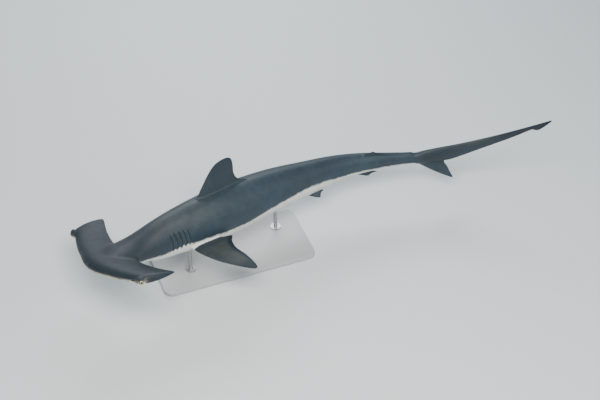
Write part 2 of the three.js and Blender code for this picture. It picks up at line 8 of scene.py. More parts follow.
import bmesh
import bpy
import numpy as np
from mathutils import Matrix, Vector


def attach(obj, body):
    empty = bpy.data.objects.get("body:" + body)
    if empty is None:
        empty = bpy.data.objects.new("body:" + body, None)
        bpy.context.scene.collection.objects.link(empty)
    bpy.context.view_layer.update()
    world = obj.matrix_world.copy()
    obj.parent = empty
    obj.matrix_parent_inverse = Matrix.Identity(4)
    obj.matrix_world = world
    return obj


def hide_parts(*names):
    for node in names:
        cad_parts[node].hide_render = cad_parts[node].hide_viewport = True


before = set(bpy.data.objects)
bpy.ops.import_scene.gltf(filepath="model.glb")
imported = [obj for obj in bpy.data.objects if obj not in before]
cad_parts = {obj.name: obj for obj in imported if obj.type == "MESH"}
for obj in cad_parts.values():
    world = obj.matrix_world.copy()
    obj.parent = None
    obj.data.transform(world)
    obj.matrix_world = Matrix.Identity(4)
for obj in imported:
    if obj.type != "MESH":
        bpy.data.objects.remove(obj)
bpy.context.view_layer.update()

MM = 0.001
DEGREE = math.pi / 180
SIDES = {"left": 1, "right": -1}

# The pose: heading, slope and bank of the spine at the snout, in degrees, and then each change of it
# as (from, to, by how much) along the body.
SNOUT = (-735, -190, 350)
HEADING = (14.7, [
    (60, 330, 0.7), (330, 800, 0.2), (800, 1250, -7.2), (1250, 1650, -19.5), (1650, 2000, -15.6)])
SLOPE = (-3.3, [(330, 800, -0.7), (800, 1250, 1), (1250, 2000, 3)])
BANK = (16.8, [(60, 330, -3.5), (330, 800, -7.1), (1250, 2000, -5.8)])
SPINE_STEP = 5
SPINE_END = 2600

# The trunk: half width, height of the back and depth of the belly at places along the body.
TRUNK_START = 15
HEAD_END = 330
STALK_END = 1810
HALF_WIDTH = [(15, 30), (60, 78), (120, 96), (170, 96), (215, 90), (265, 85), (330, 84), (420, 86),
              (560, 95), (760, 103), (1000, 92), (1200, 74), (1400, 53), (1600, 35), (1740, 24), (1810, 22)]
BACK = [(15, 14), (60, 34), (120, 44), (170, 48), (215, 54), (265, 66), (330, 84), (420, 103), (560, 120),
        (760, 129), (1000, 114), (1200, 90), (1400, 69), (1600, 49), (1740, 37), (1790, 36), (1810, 32)]
BELLY = [(15, 0), (60, 12), (120, 26), (170, 38), (215, 53), (265, 73), (330, 95), (420, 111), (560, 125),
         (760, 136), (1000, 119), (1200, 96), (1400, 71), (1600, 49), (1740, 36), (1810, 34)]
BELLY_FULLNESS = 0.9
TRUNK_MIN_HEIGHT = 8
SIDE_BLEND = 20

# The head's wing: margins in plan at distances from the midline, and half thickness.
# WING_LIFT is how far its tips rise above its middle.
WING_REACH = 343
WING_FRONT = [(0, -13), (60, -6), (120, 12), (180, 29), (240, 51), (275, 66), (290, 72), (305, 73),
              (318, 77), (330, 91), (339, 119), (343, 153)]
WING_REAR = [(0, 214), (60, 209), (110, 197), (160, 199), (220, 213), (262, 228), (295, 242), (318, 251),
             (332, 251), (340, 233), (343, 191)]
WING_RAISE = 1
WING_LIFT = 25
WING_PITCH = -2.7 * DEGREE
WING_PITCH_ALONG = 90
WING_TOP = [(0, 34), (100, 32), (200, 27), (290, 23), (322, 20), (338, 13), (343, 5)]
WING_BOTTOM = [(0, 30), (100, 28), (200, 24), (290, 21), (322, 18), (338, 12), (343, 5)]
WING_EDGE = 3
MARGIN_INSET = 1.5

# Eyes, in rounded brows at the front outer corners of the wing.
EYE_RADIUS = 16
EYE_ALONG = 87
EYE_OUT = 327
EYE_FORWARD = 20 * DEGREE
CORNEA_ANGLE = 36 * DEGREE
CORNEA_RISE = 0.9
CORNEA_FADE = (0.12, 0.16)
LID_FORWARD = 7
LID_RADIUS = 15.2
LID_THICKNESS = 3
BROW_RADIUS = 23
BROW_BACK = 11
BROW_STRETCH = (1.1, 1, 0.84)

# Mouth, nostrils and vent: lines sunk into the skin, some between raised lips. fade is the share of a
# line's length that runs out at each end, and shade is how dark the painted shade in the line is.
MOUTH_HALF_WIDTH = 74
MOUTH_FRONT = 98
MOUTH_DEPTH = 58
NOSTRIL_INNER = 262
NOSTRIL_OUTER = 304
NOSTRIL_DROP = 5
GROOVE_INNER = 150
GROOVE_OVERLAP = 6
VENT_ALONG = (1228, 1262)
MOUTH_LINE = dict(width=1.8, depth=3.5, lip=3, fade=0.12)
VENT_LINE = dict(width=1.6, depth=2.5, lip=0.8, lip_offset=3.5, lip_width=2.5, fade=0.3)
NOSTRIL_LINE = dict(width=4.2, depth=6.5, fade=0.3)
GROOVE_LINE = dict(width=1.8, depth=1.8, lip=0.5, lip_offset=4, lip_width=2, fade=0.35, shade=0.3)
LINE_REACH = 20
LIP_AT_ENDS = 0.3

# Gills: five slits a side, each behind its own raised flap. The first and the last are shorter.
GILL_SLITS = (392, 416, 440, 463, 484)
GILL_TRIM_TOP = (5, 0, 0, 0, 8)
GILL_TRIM_BOTTOM = (3, 0, 0, 0, 8)
GILL_FLAP = 20
GILL_FLAP_POWER = 1.5
GILL_RAISE = 3
GILL_REAR = 5
GILL_REAR_SHARE = 0.35
GILL_TOP = 40
GILL_BOTTOM = -36
GILL_OUT = 30
GILL_LEAN = -0.12
GILL_BOW = 3
GILL_WIDTH = 2.5
GILL_DEPTH = 6.5
GILL_FADE = 9
# How dark the painted shade in each slit is.
GILL_SHADE = 0.6
FLANK_REACH = 12

# A pit on the stalk ahead of the tail fin, over this share of the stalk's height and upwards.
PIT_ALONG = 1796
PIT_LENGTH = 8
PIT_DEPTH = 2.5
PIT_HEIGHT = (0.55, 0.95)

# Fins: edges as (distance out, distance along) from the front of the root, and half thickness, which
# swells towards the sunk root. Darkness goes from root to tip, or on paired fins lies at the rim, with
# a painted shade at the root where the body shades it.
FIRST_DORSAL = dict(
    origin=589, base=112, roll=0, down=False, reach=181, sink=34, thickness=9, tip=1.6,
    dark_from=(-12, 16), darkness=(0.3, 0.65),
    lead=[(-34, -30), (0, -2), (22, 9), (90, 51), (131, 79), (157, 102), (171, 123), (178, 144), (181, 164)],
    trail=[(-34, 226), (0, 238), (8, 278), (14, 286), (24, 262), (40, 235), (80, 215), (119, 213),
           (148, 209), (165, 203), (176, 192), (181, 178)])
SECOND_DORSAL = dict(
    origin=1515, base=50, roll=14, down=False, reach=28, sink=18, thickness=3.6, tip=1.2,
    dark_from=(-12, 16), darkness=(0.5, 0.6),
    lead=[(-18, -20), (0, 0), (12, 22), (22, 42), (28, 60)],
    trail=[(-18, 82), (0, 88), (3, 124), (6, 136), (10, 112), (16, 88), (23, 77), (28, 70)])
ANAL = dict(
    origin=1490, base=56, roll=0, down=True, reach=32, sink=18, thickness=3.6, tip=1.2,
    dark_from=(-12, 16), darkness=(0.45, 0.5),
    lead=[(-18, -20), (0, 0), (16, 28), (25, 52), (32, 70)],
    trail=[(-18, 80), (0, 86), (5, 112), (10, 128), (14, 110), (18, 96), (26, 86), (32, 80)])
LOWER_LOBE = dict(
    origin=1820, base=27, roll=0, down=True, reach=96, sink=34, thickness=6, tip=1.4,
    dark_from=(-12, 16), darkness=(0.02, 0.2),
    lead=[(-34, -12), (0, -6), (28, 35), (57, 84), (82, 138), (92, 164), (96, 176)],
    trail=[(-34, 128), (0, 139), (23, 154), (50, 166), (76, 179), (90, 187), (96, 186)])
PECTORAL = dict(
    origin=506, out=84, drop=73, droop={1: 8, -1: 19}, pitch=-2.6, sag=10, reach=272, sink=56,
    thickness=9, tip=1.5, dark_from=(6, 26), darkness=0.95, warmth=1.3,
    lead=[(-56, -4), (0, -12), (60, -1), (150, 42), (230, 110), (262, 146), (272, 163)],
    trail=[(-56, 118), (0, 139), (16, 154), (30, 194), (42, 193), (60, 177), (110, 166), (180, 181),
           (240, 184), (264, 181), (272, 175)])
PELVIC = dict(
    origin=1173, out=30, drop=74, droop={1: 40, -1: 40}, pitch=0, sag=2, reach=40, sink=34,
    thickness=4.6, tip=1.3, dark_from=(-6, 16), darkness=0.35, warmth=0.4,
    lead=[(-34, -10), (0, 12), (15, 36), (29, 62), (40, 88)],
    trail=[(-34, 84), (0, 104), (8, 122), (12, 130), (17, 113), (27, 103), (40, 97)])
MIDLINE_FINS = (FIRST_DORSAL, SECOND_DORSAL, ANAL, LOWER_LOBE)
PAIRED_FINS = (PECTORAL, PELVIC)
FIN_EDGE = 1.5
SUNK_SWELL = 1.5
ROOT_SWELL = 1.25
SWELL_ENDS = 16

# The tail fin's upper lobe, seen from the side: edges as (along, up), and half thickness.
TAIL_TIP = 2464
TAIL_TOP = [(1780, 30), (1810, 32), (1850, 46), (1920, 68), (2035, 107), (2200, 172), (2330, 229),
            (2420, 271), (2464, 292)]
TAIL_BOTTOM = [(1780, -30), (1810, -34), (1860, -35), (1960, -12), (2000, 3), (2100, 60), (2270, 158),
               (2350, 208), (2376, 224), (2392, 221), (2412, 227), (2440, 254), (2464, 282)]
TAIL_THICKNESS = [(1780, 20), (1810, 22), (1870, 18), (1960, 13), (2100, 8.5), (2300, 4.5), (2464, 1.6)]
TAIL_THIN_AFTER = 150
TAIL_SINK = 30

# How finely the skin is made.
VOXEL = 1.8
VOXEL_ROUNDS = 6
DETAIL_REACH = 9
DETAIL_SPLITS = 2
DETAIL_ROUNDS = 5
EVEN_STEPS = (0.6, -0.62)
WEIGHT_CUT = 0.002

# How the skin is blended where the head's wing and the fins meet the trunk: how far from the trunk's
# surface, and where along the body.
NECK_ROUNDS = 190
NECK_REACH = 26
NECK_STARTS = (30, 70)
NECK_ENDS = (290, 350)
ROOT_ROUNDS = 80
ROOT_REACH = 11
ROOTS_START = (440, 480)
ROOTS_END = (1790, 1840)
ROUNDS_PER_NORMALS = 10
ROOT_SOFTENING = 0.6
SOFTEN_ROUNDS = 8

# The head's lobes: how far out and how far from their margins, tips and eyes they are smoothed.
LOBE_ROUNDS = 40
LOBE_OUT = (225, 260)
LOBE_BEHIND_FRONT = (20, 45)
LOBE_BEFORE_REAR = (12, 40)
LOBE_BEFORE_TIP = (6, 30)
LOBE_FROM_EYE = (30, 45)

# Where the dark back ends and the pale belly begins, as a share of the belly's depth.
SHADE_LINE = [(200, -0.56), (300, -0.5), (400, -0.46), (600, -0.38), (760, -0.42), (900, -0.34),
              (1010, -0.25), (1100, -0.16), (1200, -0.1), (1280, -0.14), (1360, -0.32), (1500, -0.42),
              (1700, -0.5), (1810, -0.55)]
GILL_STREAK = 12
STREAK_SPACING = 23
STREAKS_START = (376, 392)
STREAKS_END = (488, 500)

# The same line on the head's wing: below its middle and lower behind the front margin. At the tips,
# behind the eyes, it drops further as a painted shade over the lobes' lower side.
MARGIN_DROP = 5
WING_DROP = 6
WING_DROPS = (20, 70)
TIP_SHADE_DROP = 26
TIP_SHADE_OUT = (296, 322)
TIP_SHADE_ALONG = (98, 116)
WING_TO_TRUNK = (110, 190)
TRUNK_TO_WING = (84, 106)
WING_ENDS = 320

# How dark the upper side is, and where its warm tint lies.
HEAD_DARKNESS = 0.72
HEAD_LIGHTENS = (230, 520)
BACK_WARMTH = 0.7
BACK_COOLS = (250, 1100)
BACK_WARM_UP = (-20, 60)
HEAD_WARMTH = 0.6
HEAD_COOLS = (160, 420)

# The fins' colours, by shares of chord and reach, and how far past a fin's form they are laid.
RIM_CHORD = (0.72, 0.97)
RIM_REACH = (0.6, 0.95)
# Painted shade on the paired fins' roots, where the body shades them: where it fades out, and how dark it is.
ROOT_SHADE_FADES = (0.08, 0.3)
ROOT_SHADE_DARKNESS = 0.5
PAST_ALONG = 8
PAST_OUT = 6
PAST_OFF = 5
RAY_SPACING = 4
FEWEST_RAYS = 10
LEAST_SHARE = 0.01

# How far below the dark back's edge points on fins count: by their slope, on the paired ones.
ALL_DARK = -40
PALE_SLOPE = 60
PALE_START = 20
PALE_RIM = 30

# The tail fin's upper lobe: bands behind its leading edge, and the dark outer part.
TAIL_STARTS = (STALK_END - 10, STALK_END + 60)
TAIL_BAND = 80
TAIL_DARKNESS = (0.3, 0.55)
TAIL_BAND_DARK = (0.15, 0.5)
TAIL_BAND_WARM = (0.1, 0.4)
TAIL_BAND_RAYS = (0.3, 0.8)
TAIL_TIP_DARKNESS = 0.9
TAIL_DARKENS = (2050, 2350)
TAIL_RAY_SLANT = 1.4
TAIL_RAY_SPACING = 9

# Cream marks: a spot below each eye, and the front margin of the head. The margin's band is partly the
# pale underside's own colour and partly a painted highlight where the front edge catches light.
BROW_SPOT = 20
BROW_SPOT_UP = (-16, 2)
BROW_CREAM = 0.8
MARGIN_WIDTH = 9
MARGIN_BELOW = 3
MARGIN_HEIGHT = 7
MARGIN_ENDS = 120

# A small raw scar on the trailing edge of the tail fin's upper lobe.
SCAR_ALONG = 2348
SCAR_LENGTH = 24
SCAR_HEIGHT = 8

# The lateral line's height, as a share of the back's. Points on the head and the fins are FAR from it.
LATERAL_LINE = [(330, 0.55), (600, 0.4), (1000, 0.25), (1400, 0.15), (1810, 0.1), (2464, 0)]
FAR = 99
NO_RAYS = 0.1


def smooth(value, low, high):
    """0 up to low and 1 from high on, with an eased rise between."""
    t = np.clip((np.asarray(value, float) - low) / (high - low), 0, 1)
    return t * t * (3 - 2 * t)


def hump(value, width):
    """1 at zero, falling off to both sides over a width."""
    return np.exp(-(np.asarray(value) / width) ** 2)


def mix(a, b, t):
    return a + (b - a) * t


def through(pairs):
    """A smooth value through (place, value) pairs, with each slope taken between the neighbours."""
    at, value = np.array(pairs, float).T
    last = len(at) - 1
    before = np.maximum(np.arange(last + 1) - 1, 0)
    after = np.minimum(np.arange(last + 1) + 1, last)
    slope = (value[after] - value[before]) / (at[after] - at[before])

    def evaluate(place):
        place = np.clip(place, at[0], at[last])
        i = np.clip(np.searchsorted(at, place, side="right") - 1, 0, last - 1)
        span = at[i + 1] - at[i]
        t = (place - at[i]) / span
        rise = t * t * (3 - 2 * t)
        swing = t * (1 - t) ** 2 * span * slope[i] + t * t * (t - 1) * span * slope[i + 1]
        return mix(value[i], value[i + 1], rise) + swing

    return evaluate


def points(along, left, up):
    """Points from their three coordinates, as arrays that fit together."""
    return np.stack(np.broadcast_arrays(along, left, up), -1).astype(float)


def turns(count):
    return np.linspace(0, 2 * math.pi, count, endpoint=False)


def eased(course, along):
    """An angle of the pose along the body, in radians."""
    start, eases = course
    return (start + sum(by * smooth(along, low, high) for low, high, by in eases)) * DEGREE


def spine():
    """The places and the tailward, left and up directions of the spine, every SPINE_STEP."""
    along = np.arange(0, SPINE_END + SPINE_STEP, SPINE_STEP, dtype=float)
    heading, slope, bank = (eased(course, along) for course in (HEADING, SLOPE, BANK))
    tailward = np.stack([np.cos(heading) * np.cos(slope), np.sin(heading) * np.cos(slope), np.sin(slope)], -1)
    level = np.stack([np.sin(heading), -np.cos(heading), 0 * heading], -1)
    upright = np.cross(-tailward, level)
    turn, lean = np.cos(bank)[:, None], np.sin(bank)[:, None]
    centre = np.zeros_like(tailward)
    centre[1:] = np.cumsum((tailward[1:] + tailward[:-1]) * SPINE_STEP / 2, 0)
    return along, centre + SNOUT, tailward, level * turn + upright * lean, upright * turn - level * lean


SPINE = spine()


def bend(straight):
    """Takes points from body coordinates in millimetres to their places in the pose in metres."""
    along, centre, tailward, left, up = SPINE
    s = straight[:, 0]
    inside = np.clip(s, 0, along[-1])

    def at(values):
        return np.stack([np.interp(inside, along, values[:, i]) for i in range(3)], -1)

    place = at(centre) + (s - inside)[:, None] * tailward[0]
    return (place + straight[:, 1:2] * at(left) + straight[:, 2:3] * at(up)) * MM


# Closed forms of triangles, each a pair of points and faces.
def grid_faces(rows, columns, closed):
    """Triangles over a grid of points, wrapped round in the second direction where it is closed."""
    i, j = np.meshgrid(np.arange(rows - 1), np.arange(columns if closed else columns - 1), indexing="ij")
    a, b = (i * columns + j).ravel(), (i * columns + (j + 1) % columns).ravel()
    c, d = b + columns, a + columns
    return np.concatenate([np.stack([a, b, c], -1), np.stack([a, c, d], -1)])


def outward(verts, faces):
    """A form with its faces turned so that they point out."""
    a, b, c = (verts[faces[:, i]] for i in range(3))
    volume = np.einsum("ij,ij->", a, np.cross(b, c))
    return verts, faces if volume > 0 else faces[:, ::-1]


def loft(rings):
    """Rings of points, joined side by side and closed at both ends by a fan."""
    rows, columns = rings.shape[:2]
    verts = rings.reshape(-1, 3)
    faces = [grid_faces(rows, columns, True)]
    here = np.arange(columns)
    after = (here + 1) % columns
    for first, middle, order in ((0, len(verts), 1), ((rows - 1) * columns, len(verts) + 1, -1)):
        fan = np.stack([first + after, first + here, np.full(columns, middle)], -1)
        faces.append(fan[:, ::order])
    verts = np.concatenate([verts, rings[0].mean(0)[None], rings[-1].mean(0)[None]])
    return outward(verts, np.concatenate(faces))


def sheet(along, out, half, place):
    """A fin as two like faces over a grid, joined round the rim."""
    rows, columns = along.shape
    count = rows * columns
    upper = grid_faces(rows, columns, False)
    rim = np.concatenate([
        np.arange(columns),
        np.arange(2, rows + 1) * columns - 1,
        count - 1 - np.arange(1, columns),
        np.arange(rows - 2, 0, -1) * columns])
    a, b = rim, np.roll(rim, -1)
    wall = np.concatenate([np.stack([b, a, a + count], -1), np.stack([b, a + count, b + count], -1)])
    verts = np.concatenate([place(along, out, half).reshape(-1, 3), place(along, out, -half).reshape(-1, 3)])
    return outward(verts, np.concatenate([upper, upper[:, ::-1] + count, wall]))


def mesh_object(name, form):
    verts, faces = form
    mesh = bpy.data.meshes.new(name)
    mesh.vertices.add(len(verts))
    mesh.vertices.foreach_set("co", verts.ravel())
    mesh.loops.add(faces.size)
    mesh.loops.foreach_set("vertex_index", faces.astype(np.int32).ravel())
    mesh.polygons.add(len(faces))
    mesh.polygons.foreach_set("loop_start", np.arange(0, faces.size, faces.shape[1], dtype=np.int32))
    mesh.update(calc_edges=True)
    mesh.validate()
    obj = bpy.data.objects.new(name, mesh)
    bpy.context.scene.collection.objects.link(obj)
    return obj


def join(forms):
    starts = np.cumsum([0] + [len(verts) for verts, _ in forms])
    faces = [form_faces + start for (_, form_faces), start in zip(forms, starts)]
    return np.concatenate([verts for verts, _ in forms]), np.concatenate(faces)


# The forms of the straight animal.
half_width = through(HALF_WIDTH)
back_height = through(BACK)
belly_depth = through(BELLY)
wing_front = through(WING_FRONT)
wing_rear = through(WING_REAR)
wing_top = through(WING_TOP)
wing_bottom = through(WING_BOTTOM)


def trunk_form(step=6.0, sides=96):
    along = np.arange(TRUNK_START, STALK_END + 2 * step, step)[:, None]
    rise = np.sin(turns(sides))[None, :]
    height = np.where(rise > 0, back_height(along), -belly_depth(along))
    up = height * np.abs(rise) ** np.where(rise > 0, 1, BELLY_FULLNESS)
    return loft(points(along, np.cos(turns(sides)) * half_width(along), up))


def wing_shape(x):
    """The half thickness of a round-nosed wing section along its chord, both 0 to 1."""
    x = np.clip(x, 0, 1)
    return 10 * (0.2969 * np.sqrt(x) - 0.126 * x - 0.3516 * x ** 2 + 0.2843 * x ** 3 - 0.1036 * x ** 4)


def wing_middle(along, out):
    """The height of the head wing's middle surface."""
    pitched = (along - WING_PITCH_ALONG) * math.tan(WING_PITCH)
    return WING_RAISE + pitched + WING_LIFT * (out / WING_REACH) ** 2


def wing_points(left, angle):
    """Points on the head's wing: on top at angles up to pi, counted from the front, and below past that."""
    out = np.abs(left)
    x = (1 - np.cos(angle)) / 2
    over = np.sin(angle) >= 0
    thickness = np.where(over, wing_top(out), wing_bottom(out)) * wing_shape(x)
    edge = WING_EDGE * np.sqrt(np.abs(np.sin(angle)))
    along = mix(wing_front(out), wing_rear(out), x)
    return points(along, left, wing_middle(along, out) + np.where(over, 1, -1) * (thickness + edge))


def wing_form(rows=141, sides=80):
    left = WING_REACH * np.sin(np.linspace(-math.pi / 2, math.pi / 2, rows))[:, None]
    return loft(wing_points(left, turns(sides)[None, :]))


def cos_sin(degrees):
    return math.cos(degrees * DEGREE), math.sin(degrees * DEGREE)


def midline_place(fin):
    """Takes a fin's own (distance along, distance out, offset) to body coordinates."""
    turn, lean = cos_sin(fin["roll"])
    way = -1 if fin["down"] else 1

    def place(x, out, off):
        height = fin["base"] + out
        return points(fin["origin"] + x, height * lean + off * turn, way * height * turn - off * lean)

    return place


def midline_local(fin, verts):
    """The way back: a fin's own sizes of points in body coordinates."""
    turn, lean = cos_sin(fin["roll"])
    way = -1 if fin["down"] else 1
    x, left, up = verts.T
    return x - fin["origin"], way * up * turn + left * lean - fin["base"], left * turn - up * lean


def paired_place(fin, side):
    """The same for a paired fin, which droops, and sags towards its tip."""
    turn, lean = cos_sin(fin["droop"][side])
    slant = math.tan(fin["pitch"] * DEGREE)

    def place(x, out, off):
        sag = fin["sag"] * (np.maximum(out, 0) / fin["reach"]) ** 2
        left = fin["out"] + out * turn + off * lean
        return points(fin["origin"] + x, side * left, off * turn - fin["drop"] - out * lean - x * slant - sag)

    return place


def paired_local(fin, side, verts):
    """The way back for a paired fin."""
    turn, lean = cos_sin(fin["droop"][side])
    x = verts[:, 0] - fin["origin"]
    left = side * verts[:, 1] - fin["out"]
    up = verts[:, 2] + fin["drop"] + x * math.tan(fin["pitch"] * DEGREE)
    sag = fin["sag"] * (np.maximum(left * turn - up * lean, 0) / fin["reach"]) ** 2
    return x, left * turn - (up + sag) * lean, left * lean + (up + sag) * turn


def fin_form(fin, place, rows=70, chords=50):
    out = mix(-fin["sink"], fin["reach"], np.linspace(0, 1, rows))[:, None]
    x = (1 - np.cos(np.linspace(0, math.pi, chords)))[None, :] / 2
    thickness = through([
        (-fin["sink"], fin["thickness"] * SUNK_SWELL), (0, fin["thickness"] * ROOT_SWELL),
        (SWELL_ENDS, fin["thickness"]), (fin["reach"], fin["tip"])])
    half = np.maximum(thickness(out) * wing_shape(x), FIN_EDGE)
    along = mix(through(fin["lead"])(out), through(fin["trail"])(out), x)
    return sheet(along, np.broadcast_to(out, along.shape), half, place)


def tail_form(rows=150, chords=40):
    """The tail fin's upper lobe, round in section at the stalk and wing-shaped further out."""
    along = np.linspace(STALK_END - TAIL_SINK, TAIL_TIP, rows)[:, None]
    x = (1 - np.cos(np.linspace(0, math.pi, chords)))[None, :] / 2
    thin = smooth(along, STALK_END, STALK_END + TAIL_THIN_AFTER)
    shape = mix(np.sin(np.arccos(1 - 2 * x)), wing_shape(x), thin)
    half = np.maximum(through(TAIL_THICKNESS)(along) * shape, FIN_EDGE)
    up = mix(through(TAIL_TOP)(along), through(TAIL_BOTTOM)(along), x)
    return sheet(np.broadcast_to(along, up.shape), up, half, lambda a, o, h: points(a, h, o))


def eye_centre(side):
    return np.array([EYE_ALONG, side * EYE_OUT, wing_middle(EYE_ALONG, EYE_OUT)])


def eye_distance(verts, side):
    return np.linalg.norm(verts - eye_centre(side), axis=1)


def eye_axes(side):
    """The directions out of the eye, across it and up it."""
    out = np.array([-math.sin(EYE_FORWARD), side * math.cos(EYE_FORWARD), 0])
    up = np.array([0, 0, 1.0])
    return out, np.cross(out, up), up


def ball(centre, radius, stretch=(1, 1, 1), levels=24, sides=36):
    tilt = np.linspace(0, math.pi, levels + 1)[1:-1, None]
    turn = turns(sides)[None, :]
    spot = points(np.sin(tilt) * np.cos(turn), np.sin(tilt) * np.sin(turn), np.cos(tilt))
    return loft(spot * radius * np.array(stretch) + centre)


def lid_form(side, count=48, sides=16):
    """A ring round the eye."""
    out, across, up = eye_axes(side)
    turn, roll = turns(count)[:, None, None], turns(sides)[None, :, None]
    radial = np.cos(turn) * across + np.sin(turn) * up
    middle = eye_centre(side) + out * LID_FORWARD
    verts = middle + radial * (LID_RADIUS + LID_THICKNESS * np.cos(roll)) + out * LID_THICKNESS * np.sin(roll)
    faces = grid_faces(count + 1, sides, True) % (count * sides)
    return outward(verts.reshape(-1, 3), faces)


def underside(along, left):
    """How low the head's underside lies."""
    out = np.abs(left)
    x = (along - wing_front(out)) / (wing_rear(out) - wing_front(out))
    wing = wing_points(left, -np.arccos(np.clip(1 - 2 * x, -1, 1)))[..., 2]
    across = np.clip(out / half_width(along), 0, 1)
    return np.minimum(wing, -belly_depth(along) * (1 - across ** 2) ** (BELLY_FULLNESS / 2))


def mouth_path(count=41):
    t = np.linspace(-1, 1, count)
    along, left = MOUTH_FRONT + MOUTH_DEPTH * t * t, MOUTH_HALF_WIDTH * t
    return points(along, left, underside(along, left))


def margin_path(side, inner, outer, count=24):
    """A stretch just under the head's front margin."""
    out = np.linspace(inner, outer, count)
    along = wing_front(out) + MARGIN_INSET
    return points(along, side * out, wing_middle(along, out) - NOSTRIL_DROP)


def gill_place(at, up):
    """How far along a gill slit lies, at heights up."""
    return at + GILL_LEAN * up - GILL_BOW * (up / GILL_TOP) ** 2


def gill_path(at, side, count=16):
    up = np.linspace(GILL_BOTTOM, GILL_TOP, count)
    height = np.where(up > 0, back_height(at), belly_depth(at))
    return points(gill_place(at, up), side * half_width(at) * np.sqrt(1 - (up / height) ** 2), up)


def vent_path(count=8):
    along = np.linspace(*VENT_ALONG, count)
    return points(along, 0, -belly_depth(along))


def detail_paths():
    """All lines that are sunk into the skin."""
    paths = [mouth_path(), vent_path()]
    for side in SIDES.values():
        paths.append(margin_path(side, GROOVE_INNER, NOSTRIL_OUTER))
        paths.extend(gill_path(at, side) for at in GILL_SLITS)
    return paths


# Work on the skin's points.
def apply_modifiers(obj):
    """Bakes an object's modifiers into its mesh."""
    graph = bpy.context.evaluated_depsgraph_get()
    mesh = bpy.data.meshes.new_from_object(obj.evaluated_get(graph))
    old = obj.data
    obj.modifiers.clear()
    obj.data = mesh
    bpy.data.meshes.remove(old)


def read(items, field, width, dtype=float):
    """A field of a mesh's points or edges, one row for each."""
    values = np.empty(len(items) * width, dtype)
    items.foreach_get(field, values)
    return values.reshape(-1, width)


def coordinates(mesh):
    return read(mesh.vertices, "co", 3)


def edge_ends(mesh):
    return read(mesh.edges, "vertices", 2, np.int32)


def normals_of(mesh, verts):
    """Moves a mesh's points to verts and gives its normals there."""
    mesh.vertices.foreach_set("co", verts.ravel())
    mesh.update()
    return read(mesh.vertex_normals, "vector", 3)


def relax(verts, edges, weight, rounds, step=0.5, normals=None):
    """Moves each point towards the middle of its neighbours, as far as its weight lets it.

    With normals given, no point moves inwards, so that creases fill up and edges stay.
    """
    count = len(verts)
    weight = np.maximum(weight - WEIGHT_CUT, 0)
    touched = edges[(weight[edges] > 0).any(1)]
    a, b = touched.T
    degree = np.maximum(np.bincount(a, minlength=count) + np.bincount(b, minlength=count), 1)
    for _ in range(rounds):
        sums = [np.bincount(a, verts[b, i], count) + np.bincount(b, verts[a, i], count) for i in range(3)]
        middle = np.stack(sums, -1) / degree[:, None]
        move = (middle - verts) * (step * weight)[:, None]
        if normals is not None:
            move -= normals * np.minimum((move * normals).sum(1), 0)[:, None]
        verts = verts + move
    return verts


def even_out(verts, edges, weight, rounds):
    """Takes the small steps out of a surface without shrinking it."""
    for _ in range(rounds):
        for step in EVEN_STEPS:
            verts = relax(verts, edges, weight, 1, step)
    return verts


def trunk_gap(verts):
    """About how far points lie from the trunk's surface."""
    along, left, up = verts.T
    height = mix(belly_depth(along), back_height(along), smooth(up, -SIDE_BLEND, SIDE_BLEND))
    height = np.maximum(height, TRUNK_MIN_HEIGHT)
    reach = np.hypot(left / half_width(along), up / height)
    return np.abs(reach - 1) * np.minimum(half_width(along), height)


def lobe_share(verts):
    """The broad faces of the head's lobes, away from their margins and the brows."""
    along, left, _ = verts.T
    out = np.minimum(np.abs(left), WING_REACH)
    behind_front = smooth(along, *(wing_front(out) + inset for inset in LOBE_BEHIND_FRONT))
    share = smooth(out, *LOBE_OUT) * behind_front * smooth(wing_rear(out) - along, *LOBE_BEFORE_REAR)
    share *= smooth(WING_REACH - out, *LOBE_BEFORE_TIP) * (along < HEAD_END)
    for side in SIDES.values():
        share *= smooth(eye_distance(verts, side), *LOBE_FROM_EYE)
    return share


def path_distance(verts, path, reach):
    """How far points lie from a path, at most reach, and how far along it is the nearest place, 0 to 1."""
    distance, share = np.full(len(verts), float(reach)), np.zeros(len(verts))
    near = np.flatnonzero(((verts > path.min(0) - reach) & (verts < path.max(0) + reach)).all(1))
    run = np.diff(path, axis=0)
    offset = verts[near][:, None] - path[:-1]
    t = np.clip((offset * run).sum(-1) / (run ** 2).sum(1), 0, 1)
    gap = np.linalg.norm(offset - t[..., None] * run, axis=-1)
    best = gap.argmin(1)
    rows = np.arange(len(near))
    distance[near] = np.minimum(gap[rows, best], reach)
    share[near] = (best + t[rows, best]) / len(run)
    return distance, share


def near_details(verts):
    """Which points lie near a sunk line or a brow."""
    near = np.zeros(len(verts), bool)
    for path in detail_paths():
        near |= path_distance(verts, path, DETAIL_REACH)[0] < DETAIL_REACH
    for side in SIDES.values():
        near |= eye_distance(verts, side) < BROW_RADIUS + LID_THICKNESS
    return near


def refine(obj, wanted):
    """Halves the edges between wanted points."""
    mesh = bmesh.new()
    mesh.from_mesh(obj.data)
    chosen = [edge for edge in mesh.edges if wanted[edge.verts[0].index] and wanted[edge.verts[1].index]]
    bmesh.ops.subdivide_edges(mesh, edges=chosen, cuts=1, use_grid_fill=True)
    mesh.to_mesh(obj.data)
    mesh.free()


def blend_zone(verts, gap, reach, starts, ends):
    """The share of a blend near the trunk's surface, on one stretch of the body."""
    along = verts[:, 0]
    return hump(gap, reach) * smooth(along, *starts) * (1 - smooth(along, *ends))


